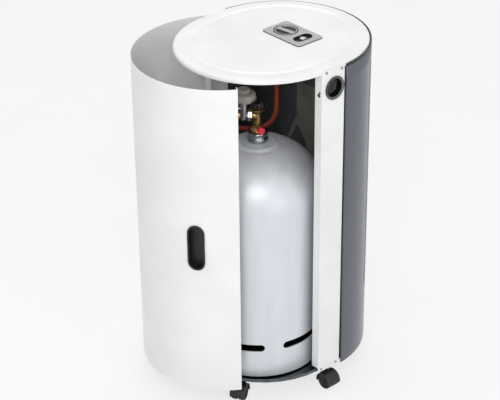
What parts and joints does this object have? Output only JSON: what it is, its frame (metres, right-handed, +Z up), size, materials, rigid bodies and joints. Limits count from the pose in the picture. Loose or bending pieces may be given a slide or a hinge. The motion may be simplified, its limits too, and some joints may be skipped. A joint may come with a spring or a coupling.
{
  "type": "portable gas cabinet heater",
  "caption": "Mobile gas heater cabinet with rounded ends, hinged rear door, removable gas bottle with regulator and hose, top controls and swivel castors.",
  "frame": {"origin": "centre of the base tray underside, on the middle line of the cabinet", "axes": "+Z up, +Y towards the rear door and the bottle bay, +X towards the door hinge"},
  "size_m": [0.4701, 0.543, 0.8476],
  "materials": {
    "white_enamel": "semi-gloss white enamel",
    "anthracite_enamel": "satin anthracite enamel",
    "galvanised_steel": "bright galvanised",
    "dark_inner_sheet": "matt dark grey",
    "black_plastic": "fine matt",
    "grey_plastic": "satin",
    "brushed_plate": "brushed lengthwise",
    "silver_trim": "bright plated",
    "brass": "turned, slightly dull",
    "copper": "drawn copper tube",
    "heat_resistant_steel": "dull heat-resistant steel",
    "ceramic": "glazed white ceramic",
    "lead_sheath": "matt black silicone sheath",
    "bottle_paint": "satin silver paint",
    "red_plastic": "glossy red",
    "regulator_casting": "warm grey die casting",
    "hose_rubber": "smooth orange-red rubber",
    "castor_plastic": "fine matt black",
    "wheel_rubber": "matt black tread"
  },
  "bodies": {
    "cabinet": {"latch_post": "white_enamel", "hinge_post": "white_enamel", "lid": "white_enamel", "front_panel": "anthracite_enamel", "base_tray": "galvanised_steel", "hinge_bracket_top": "galvanised_steel", "hinge_bracket_bottom": "galvanised_steel", "neck_ring": "galvanised_steel", "bulkhead": "dark_inner_sheet", "heat_shield": "dark_inner_sheet", "top_trim_strip": "black_plastic", "knob_bezel": "black_plastic", "button_recess": "black_plastic", "piezo_body": "black_plastic", "grip_cup": "grey_plastic", "regulator_cap": "grey_plastic", "control_plate": "brushed_plate", "union_nut": "silver_trim", "hose_clamp_tap": "silver_trim", "hose_clamp_regulator": "silver_trim", "gas_tap_body": "brass", "burner_injector": "brass", "bottle_valve": "brass", "hose_tail": "brass", "gas_pipe": "copper", "thermocouple": "copper", "burner_box": "heat_resistant_steel", "burner_tube": "heat_resistant_steel", "pilot_burner": "heat_resistant_steel", "spark_electrode": "ceramic", "ignition_lead": "lead_sheath", "gas_bottle": "bottle_paint", "bottle_foot_ring": "bottle_paint", "outlet_cap": "red_plastic", "regulator_body": "regulator_casting", "gas_hose": "hose_rubber"},
    "door": {"door_panel": "white_enamel", "door_handle_cup": "black_plastic", "door_catch": "galvanised_steel"},
    "tap_stem": {"tap_spindle": "brass"},
    "knob": {"knob_disc": "black_plastic", "knob_trim": "silver_trim"},
    "igniter_button": {"ignition_button": "silver_trim"},
    "handwheel": {"valve_handwheel": "black_plastic"},
    "castor_1": {"castor_1_housing": "castor_plastic"},
    "castor_1_a": {"castor_1_wheel_a": "wheel_rubber"},
    "castor_1_b": {"castor_1_wheel_b": "wheel_rubber"},
    "castor_2": {"castor_2_housing": "castor_plastic"},
    "castor_2_a": {"castor_2_wheel_a": "wheel_rubber"},
    "castor_2_b": {"castor_2_wheel_b": "wheel_rubber"},
    "castor_3": {"castor_3_housing": "castor_plastic"},
    "castor_3_a": {"castor_3_wheel_a": "wheel_rubber"},
    "castor_3_b": {"castor_3_wheel_b": "wheel_rubber"},
    "castor_4": {"castor_4_housing": "castor_plastic"},
    "castor_4_a": {"castor_4_wheel_a": "wheel_rubber"},
    "castor_4_b": {"castor_4_wheel_b": "wheel_rubber"},
    "castor_5": {"castor_5_housing": "castor_plastic"},
    "castor_5_a": {"castor_5_wheel_a": "wheel_rubber"},
    "castor_5_b": {"castor_5_wheel_b": "wheel_rubber"}
  },
  "joints": [
    {"name": "door_hinge", "type": "hinge", "parent": "cabinet", "child": "door", "pos_m": [0.194, -0.028, 0.39], "axis": [0, 0, -1], "range_deg": [-27.4, 72.6]},
    {"name": "knob_press", "type": "slide", "parent": "cabinet", "child": "tap_stem", "axis": [0, 0, -1], "range_m": [0, 0.003], "stiffness_N_per_m": 900, "springref_m": -0.002},
    {"name": "knob_turn", "type": "hinge", "parent": "tap_stem", "child": "knob", "pos_m": [0.011, -0.053, 0.789], "axis": [0, 0, -1], "range_deg": [0, 270]},
    {"name": "button_press", "type": "slide", "parent": "cabinet", "child": "igniter_button", "axis": [0, 0, -1], "range_m": [0, 0.004], "stiffness_N_per_m": 600, "springref_m": -0.002},
    {"name": "handwheel_turn", "type": "hinge", "parent": "cabinet", "child": "handwheel", "pos_m": [-0.0125, 0.0548, 0.65], "axis": [0, 0, 1], "range_deg": [0, 720]},
    {"name": "castor_1_swivel", "type": "hinge", "parent": "cabinet", "child": "castor_1", "pos_m": [-0.182, 0, -0.01], "axis": [0, 0, 1], "continuous": true},
    {"name": "castor_1_roll_a", "type": "hinge", "parent": "castor_1", "child": "castor_1_a", "pos_m": [-0.2, 0, -0.035], "axis": [0, -1, 0], "continuous": true},
    {"name": "castor_1_roll_b", "type": "hinge", "parent": "castor_1", "child": "castor_1_b", "pos_m": [-0.2, 0, -0.035], "axis": [0, -1, 0], "continuous": true},
    {"name": "castor_2_swivel", "type": "hinge", "parent": "cabinet", "child": "castor_2", "pos_m": [-0.08654, 0.17433, -0.01], "axis": [0, 0, 1], "continuous": true},
    {"name": "castor_2_roll_a", "type": "hinge", "parent": "castor_2", "child": "castor_2_a", "pos_m": [-0.09554, 0.18992, -0.035], "axis": [-0.866, -0.5, 0], "continuous": true},
    {"name": "castor_2_roll_b", "type": "hinge", "parent": "castor_2", "child": "castor_2_b", "pos_m": [-0.09554, 0.18992, -0.035], "axis": [-0.866, -0.5, 0], "continuous": true},
    {"name": "castor_3_swivel", "type": "hinge", "parent": "cabinet", "child": "castor_3", "pos_m": [0.08654, 0.17433, -0.01], "axis": [0, 0, 1], "continuous": true},
    {"name": "castor_3_roll_a", "type": "hinge", "parent": "castor_3", "child": "castor_3_a", "pos_m": [0.09554, 0.18992, -0.035], "axis": [-0.866, 0.5, 0], "continuous": true},
    {"name": "castor_3_roll_b", "type": "hinge", "parent": "castor_3", "child": "castor_3_b", "pos_m": [0.09554, 0.18992, -0.035], "axis": [-0.866, 0.5, 0], "continuous": true},
    {"name": "castor_4_swivel", "type": "hinge", "parent": "cabinet", "child": "castor_4", "pos_m": [0.182, 0, -0.01], "axis": [0, 0, 1], "continuous": true},
    {"name": "castor_4_roll_a", "type": "hinge", "parent": "castor_4", "child": "castor_4_a", "pos_m": [0.2, 0, -0.035], "axis": [0, 1, 0], "continuous": true},
    {"name": "castor_4_roll_b", "type": "hinge", "parent": "castor_4", "child": "castor_4_b", "pos_m": [0.2, 0, -0.035], "axis": [0, 1, 0], "continuous": true},
    {"name": "castor_5_swivel", "type": "hinge", "parent": "cabinet", "child": "castor_5", "pos_m": [0, -0.185, -0.01], "axis": [0, 0, 1], "continuous": true},
    {"name": "castor_5_roll_a", "type": "hinge", "parent": "castor_5", "child": "castor_5_a", "pos_m": [0, -0.203, -0.035], "axis": [1, 0, 0], "continuous": true},
    {"name": "castor_5_roll_b", "type": "hinge", "parent": "castor_5", "child": "castor_5_b", "pos_m": [0, -0.203, -0.035], "axis": [1, 0, 0], "continuous": true}
  ]
}
